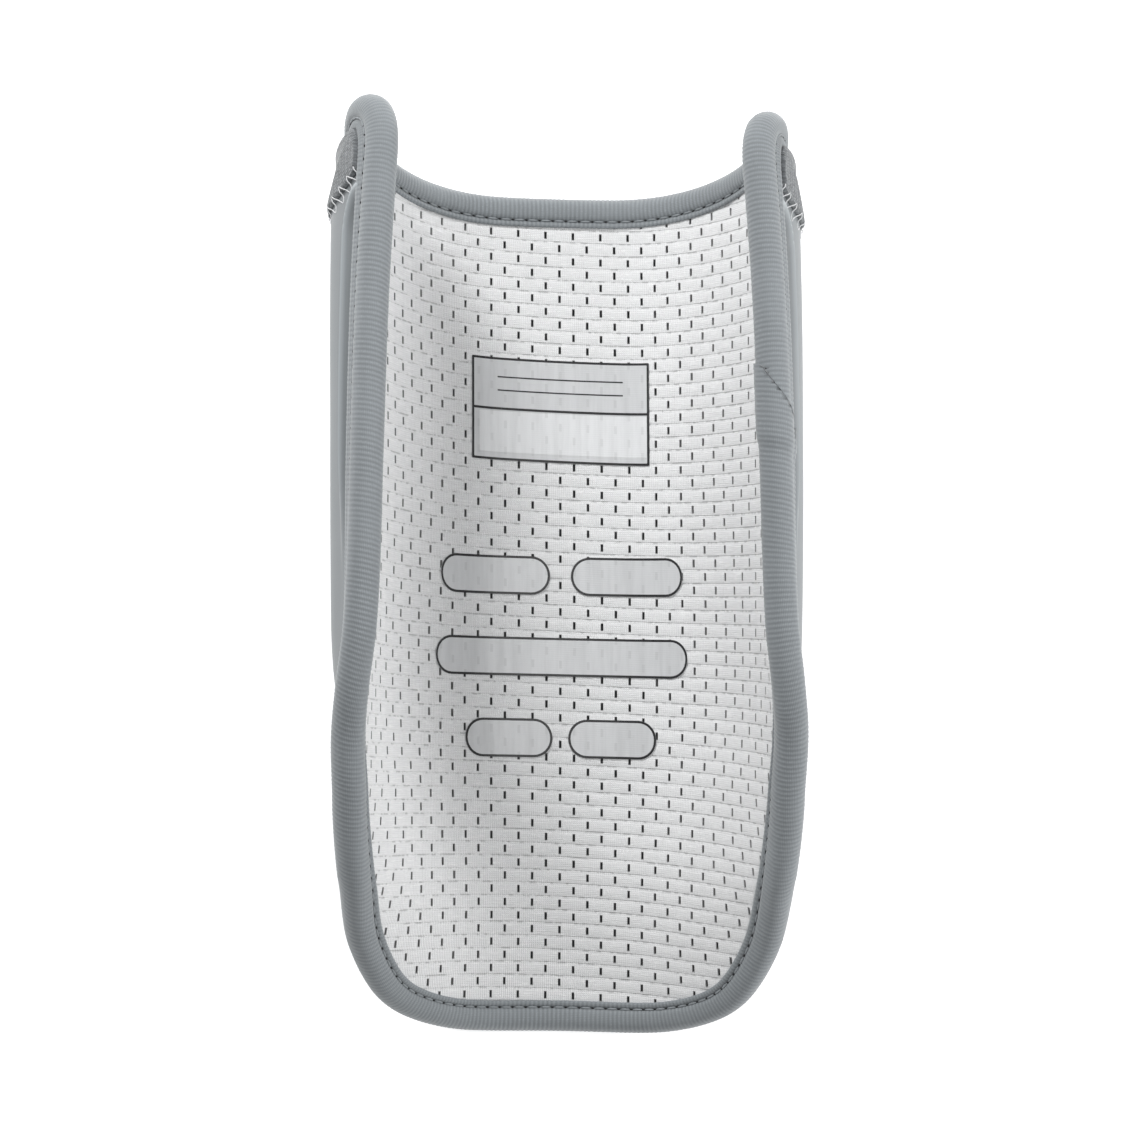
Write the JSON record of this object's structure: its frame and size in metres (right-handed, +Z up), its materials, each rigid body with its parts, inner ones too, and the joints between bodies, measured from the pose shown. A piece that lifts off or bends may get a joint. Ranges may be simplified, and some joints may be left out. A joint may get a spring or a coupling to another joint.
{
  "type": "baseball elbow guard",
  "caption": "Padded elbow guard lying on its back, a trough open upwards for the arm: stiff shell, foam pad, white mesh lining, knit band and ribbed edge binding.",
  "frame": {"origin": "bottom centre of the guard as it lies on the flat plate of its shell", "axes": "+Z up out of the arm hollow, +Y along the arm towards the upper end with the two ears, +X to the right when looking down into the hollow"},
  "size_m": [0.122, 0.2366, 0.0752],
  "materials": {
    "lining": "matte",
    "foam": "matte",
    "shell": "satin",
    "binding": "matte",
    "knit": "matte",
    "film": "gloss"
  },
  "bodies": {
    "root": {"mesh_lining": "lining", "foam_pad": "foam", "outer_shell": "shell", "edge_binding": "binding", "knit_band": "knit", "label_film": "film", "motif_bar_top_left": "film", "motif_bar_top_right": "film", "motif_bar_middle": "film", "motif_bar_bottom_left": "film", "motif_bar_bottom_right": "film"}
  },
  "joints": []
}
